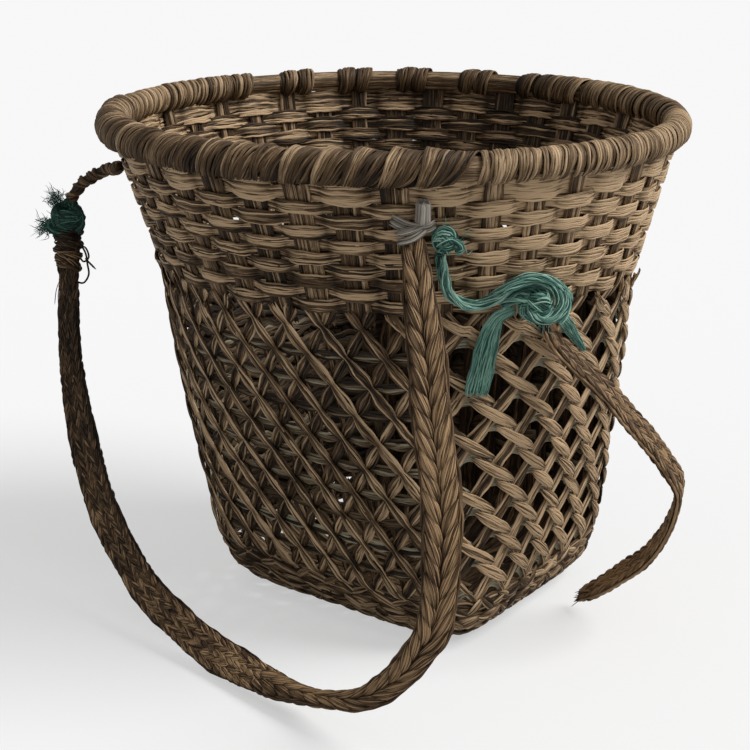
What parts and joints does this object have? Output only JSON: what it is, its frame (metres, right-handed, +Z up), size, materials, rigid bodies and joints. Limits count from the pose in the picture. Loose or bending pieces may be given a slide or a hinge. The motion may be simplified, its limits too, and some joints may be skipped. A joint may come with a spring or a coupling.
{
  "type": "carry basket",
  "caption": "Tapered woven carry basket with a round wrapped rim, a plain-weave band, an open lattice, a rounded square base and plaited straps tied on with yarn.",
  "frame": {"origin": "centre of the rim, dropped to the surface the basket stands on", "axes": "+Z up through the mouth, -Y towards the face with the long strap"},
  "size_m": [0.4486, 0.4152, 0.352],
  "materials": {
    "bark": "matt split vine and bark strips, fibrous",
    "dark_bark": "matt plaited bark fibre, dark with handling",
    "pale_bark": "matt weathered bark",
    "yarn": "loose woollen yarn"
  },
  "bodies": {
    "basket": {"upright_strip_1": "bark", "upright_strip_2": "bark", "upright_strip_3": "bark", "upright_strip_4": "bark", "upright_strip_5": "bark", "upright_strip_6": "bark", "upright_strip_7": "bark", "upright_strip_8": "bark", "upright_strip_9": "bark", "base_strip_1": "bark", "base_strip_2": "bark", "base_strip_3": "bark", "base_strip_4": "bark", "base_strip_5": "bark", "base_strip_6": "bark", "base_strip_7": "bark", "base_strip_8": "bark", "base_strip_9": "bark", "lattice_strand_1": "bark", "lattice_strand_2": "bark", "lattice_strand_3": "bark", "lattice_strand_4": "bark", "lattice_hoop_1": "bark", "lattice_hoop_2": "bark", "lattice_hoop_3": "bark", "lattice_hoop_4": "bark", "lattice_hoop_5": "bark", "lattice_hoop_6": "bark", "lattice_hoop_7": "bark", "lattice_hoop_8": "bark", "lattice_hoop_9": "bark", "lattice_hoop_10": "bark", "band_weaver_1": "bark", "band_weaver_2": "bark", "band_weaver_3": "bark", "band_weaver_4": "bark", "band_weaver_5": "bark", "band_weaver_6": "bark", "band_weaver_7": "bark", "band_weaver_8": "bark", "band_weaver_9": "bark", "band_weaver_10": "bark", "base_border_1": "bark", "base_border_2": "bark", "base_border_3": "bark", "rim_hoop_outer": "bark", "rim_hoop_inner": "bark", "rim_binding": "bark", "front_peg": "pale_bark", "front_sling": "bark", "front_yarn_knot": "yarn", "side_yarn_knot": "yarn", "yarn_cord": "yarn", "yarn_tail_long": "yarn", "yarn_tail_short": "yarn", "left_tie_cord": "dark_bark"},
    "long_strap": {"long_strap": "dark_bark", "left_yarn_knot": "yarn"},
    "loose_strap": {"loose_strap": "dark_bark"}
  },
  "joints": [
    {"name": "long_strap_swing", "type": "hinge", "parent": "basket", "child": "long_strap", "pos_m": [0.117, -0.1462, 0.2992], "axis": [-0.9891, 0.1033, -0.1045], "range_deg": [0, 100]},
    {"name": "loose_strap_swing", "type": "hinge", "parent": "basket", "child": "loose_strap", "pos_m": [0.1608, -0.0635, 0.2385], "axis": [-0.3397, -0.9392, 0.05], "range_deg": [0, 55]}
  ]
}
